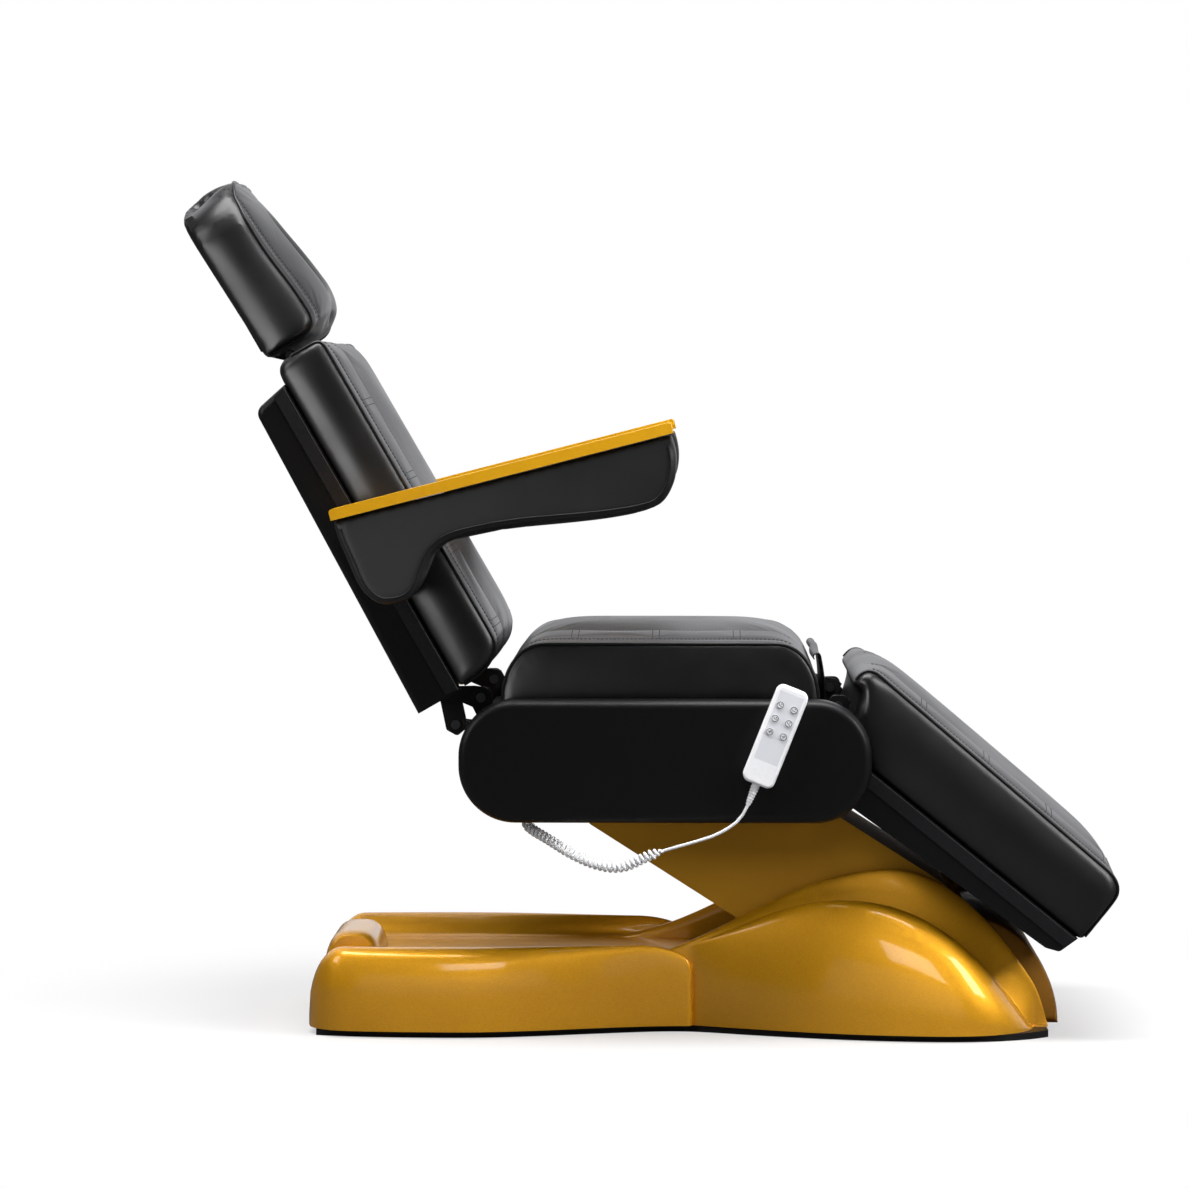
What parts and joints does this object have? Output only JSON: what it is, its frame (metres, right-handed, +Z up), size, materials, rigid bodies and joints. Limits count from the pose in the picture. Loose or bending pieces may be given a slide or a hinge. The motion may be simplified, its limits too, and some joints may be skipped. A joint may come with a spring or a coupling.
{
  "type": "electric beauty bed",
  "caption": "Motorised treatment couch: moulded waisted base, lifting arm, padded seat with tilting back, leg rest and headrest, fold-up armrests and a corded handset.",
  "frame": {"origin": "centre of the base's footprint, on the floor", "axes": "+X towards the foot end, +Y across the bed, +Z up; modelled in the seated pose of the picture"},
  "size_m": [1.3779, 0.78, 1.2483],
  "materials": {
    "upholstery": "satin black leatherette over foam",
    "armrest_upholstery": "satin black leatherette over foam",
    "gold_paint": "glossy metallic gold paint on a moulding",
    "gold_plate": "smooth metallic gold paint",
    "dark_metal": "black powder coat",
    "arm_paint": "dark gold paint",
    "steel": "plain steel",
    "board": "plywood",
    "black_plastic": "fine textured black plastic",
    "drive_plastic": "dark grey plastic",
    "white_plastic": "white plastic",
    "keypad_film": "pale grey film",
    "button_rubber": "soft key",
    "cord_sheath": "white cord sheath",
    "flap_cloth": "black cloth flap"
  },
  "bodies": {
    "base": {"base_plate": "dark_metal", "base_cover": "gold_paint", "control_box": "drive_plastic", "power_inlet": "black_plastic", "arm_pedestal": "dark_metal", "lift_fork": "dark_metal", "base_pins": "steel"},
    "arm": {"lift_arm": "arm_paint", "arm_bushes": "steel", "lift_lug_pin": "steel"},
    "tie": {"tie_links": "dark_metal"},
    "lift_motor": {"lift_drive": "drive_plastic"},
    "lift_piston": {"lift_rod": "steel"},
    "seat": {"seat_frame": "dark_metal", "seat_board": "board", "seat_cushion": "upholstery", "side_panel_left": "black_plastic", "side_panel_right": "black_plastic", "gap_flap": "flap_cloth", "seat_pins": "steel", "handset_hanger": "steel", "cord_gland": "black_plastic", "straight_cord": "cord_sheath", "curly_cord": "cord_sheath"},
    "back_motor": {"back_drive": "drive_plastic"},
    "back_piston": {"back_rod": "steel"},
    "leg_motor": {"leg_drive": "drive_plastic"},
    "leg_piston": {"leg_rod": "steel"},
    "back": {"back_frame": "dark_metal", "back_board": "board", "back_cushion": "upholstery", "back_cover": "black_plastic", "post_sleeves": "steel", "armrest_bolts": "steel", "back_lever_pin": "steel"},
    "head_carrier": {"head_posts": "steel"},
    "head": {"head_board": "board", "head_cushion": "upholstery"},
    "armrest_left": {"armrest_pad_left": "armrest_upholstery", "armrest_top_left": "gold_plate", "armrest_hub_left": "steel"},
    "armrest_right": {"armrest_pad_right": "armrest_upholstery", "armrest_top_right": "gold_plate", "armrest_hub_right": "steel"},
    "leg": {"leg_frame": "dark_metal", "leg_board": "board", "leg_cushion": "upholstery", "leg_cover": "black_plastic", "leg_lever_pin": "steel"},
    "handset": {"handset_back": "white_plastic", "handset_front": "white_plastic", "keypad": "keypad_film", "strain_relief": "cord_sheath"},
    "button_1": {"button_1": "button_rubber"},
    "button_2": {"button_2": "button_rubber"},
    "button_3": {"button_3": "button_rubber"},
    "button_4": {"button_4": "button_rubber"},
    "button_5": {"button_5": "button_rubber"},
    "button_6": {"button_6": "button_rubber"}
  },
  "joints": [
    {"name": "lift", "type": "hinge", "parent": "base", "child": "arm", "pos_m": [0.316, 0, 0.14], "axis": [0, 1, 0], "range_deg": [0, 38]},
    {"name": "seat_level", "type": "hinge", "parent": "arm", "child": "seat", "pos_m": [-0.061, 0, 0.38017], "axis": [0, 1, 0], "range_deg": [-38.2, 0.2]},
    {"name": "tie_swing", "type": "hinge", "parent": "base", "child": "tie", "pos_m": [0.316, 0, 0.08], "axis": [0, 1, 0], "range_deg": [-0.2, 38.2]},
    {"name": "lift_motor_tilt", "type": "hinge", "parent": "base", "child": "lift_motor", "pos_m": [-0.03977, 0, 0.04181], "axis": [0, 1, 0], "range_deg": [-0.2, 2.1]},
    {"name": "lift_rod_tilt", "type": "hinge", "parent": "arm", "child": "lift_piston", "pos_m": [0.27011, 0, 0.215], "axis": [0, 1, 0], "range_deg": [-36.3, 0.2]},
    {"name": "back_tilt", "type": "hinge", "parent": "seat", "child": "back", "pos_m": [-0.294, 0, 0.49717], "axis": [0, -1, 0], "range_deg": [-8, 60]},
    {"name": "back_motor_tilt", "type": "hinge", "parent": "seat", "child": "back_motor", "pos_m": [0.05776, 0.06, 0.39582], "axis": [0, -1, 0], "range_deg": [-0.51, 2.51]},
    {"name": "back_rod_tilt", "type": "hinge", "parent": "back", "child": "back_piston", "pos_m": [-0.34502, 0.06, 0.43815], "axis": [0, -1, 0], "range_deg": [-57.89, 7.89]},
    {"name": "leg_tilt", "type": "hinge", "parent": "seat", "child": "leg", "pos_m": [0.228, 0, 0.48517], "axis": [0, -1, 0], "range_deg": [0, 39]},
    {"name": "leg_motor_tilt", "type": "hinge", "parent": "seat", "child": "leg_motor", "pos_m": [-0.18975, -0.06, 0.40541], "axis": [0, -1, 0], "range_deg": [-0.82, 0.2]},
    {"name": "leg_rod_tilt", "type": "hinge", "parent": "leg", "child": "leg_piston", "pos_m": [0.20401, -0.06, 0.41916], "axis": [0, -1, 0], "range_deg": [-39.82, 0.2]},
    {"name": "head_slide", "type": "slide", "parent": "back", "child": "head_carrier", "axis": [-0.5, 0, 0.866], "range_m": [0, 0.08]},
    {"name": "head_tilt", "type": "hinge", "parent": "head_carrier", "child": "head", "pos_m": [-0.58523, 0, 0.9976], "axis": [0, -1, 0], "range_deg": [0, 25]},
    {"name": "armrest_left_lift", "type": "hinge", "parent": "back", "child": "armrest_left", "pos_m": [-0.43574, -0.326, 0.68669], "axis": [0, -1, 0], "range_deg": [0, 100]},
    {"name": "armrest_right_lift", "type": "hinge", "parent": "back", "child": "armrest_right", "pos_m": [-0.43574, 0.326, 0.68669], "axis": [0, -1, 0], "range_deg": [0, 100]},
    {"name": "handset_lift", "type": "slide", "parent": "seat", "child": "handset", "axis": [0, 0, 1], "range_m": [0, 0.05]},
    {"name": "button_1_press", "type": "slide", "parent": "handset", "child": "button_1", "axis": [0, 1, 0], "range_m": [0, 0.001], "stiffness_N_per_m": 400},
    {"name": "button_2_press", "type": "slide", "parent": "handset", "child": "button_2", "axis": [0, 1, 0], "range_m": [0, 0.001], "stiffness_N_per_m": 400},
    {"name": "button_3_press", "type": "slide", "parent": "handset", "child": "button_3", "axis": [0, 1, 0], "range_m": [0, 0.001], "stiffness_N_per_m": 400},
    {"name": "button_4_press", "type": "slide", "parent": "handset", "child": "button_4", "axis": [0, 1, 0], "range_m": [0, 0.001], "stiffness_N_per_m": 400},
    {"name": "button_5_press", "type": "slide", "parent": "handset", "child": "button_5", "axis": [0, 1, 0], "range_m": [0, 0.001], "stiffness_N_per_m": 400},
    {"name": "button_6_press", "type": "slide", "parent": "handset", "child": "button_6", "axis": [0, 1, 0], "range_m": [0, 0.001], "stiffness_N_per_m": 400}
  ],
  "couplings": [
    {"joint": "seat_level", "follows": "lift", "ratio": -1},
    {"joint": "tie_swing", "follows": "lift", "ratio": 1},
    {"joint": "lift_motor_tilt", "follows": "lift", "ratio": 0.05},
    {"joint": "lift_rod_tilt", "follows": "lift", "ratio": -0.95},
    {"joint": "back_motor_tilt", "follows": "back_tilt", "ratio": 0.0385},
    {"joint": "back_rod_tilt", "follows": "back_tilt", "ratio": -0.9615},
    {"joint": "leg_motor_tilt", "follows": "leg_tilt", "ratio": -0.016},
    {"joint": "leg_rod_tilt", "follows": "leg_tilt", "ratio": -1.016}
  ]
}
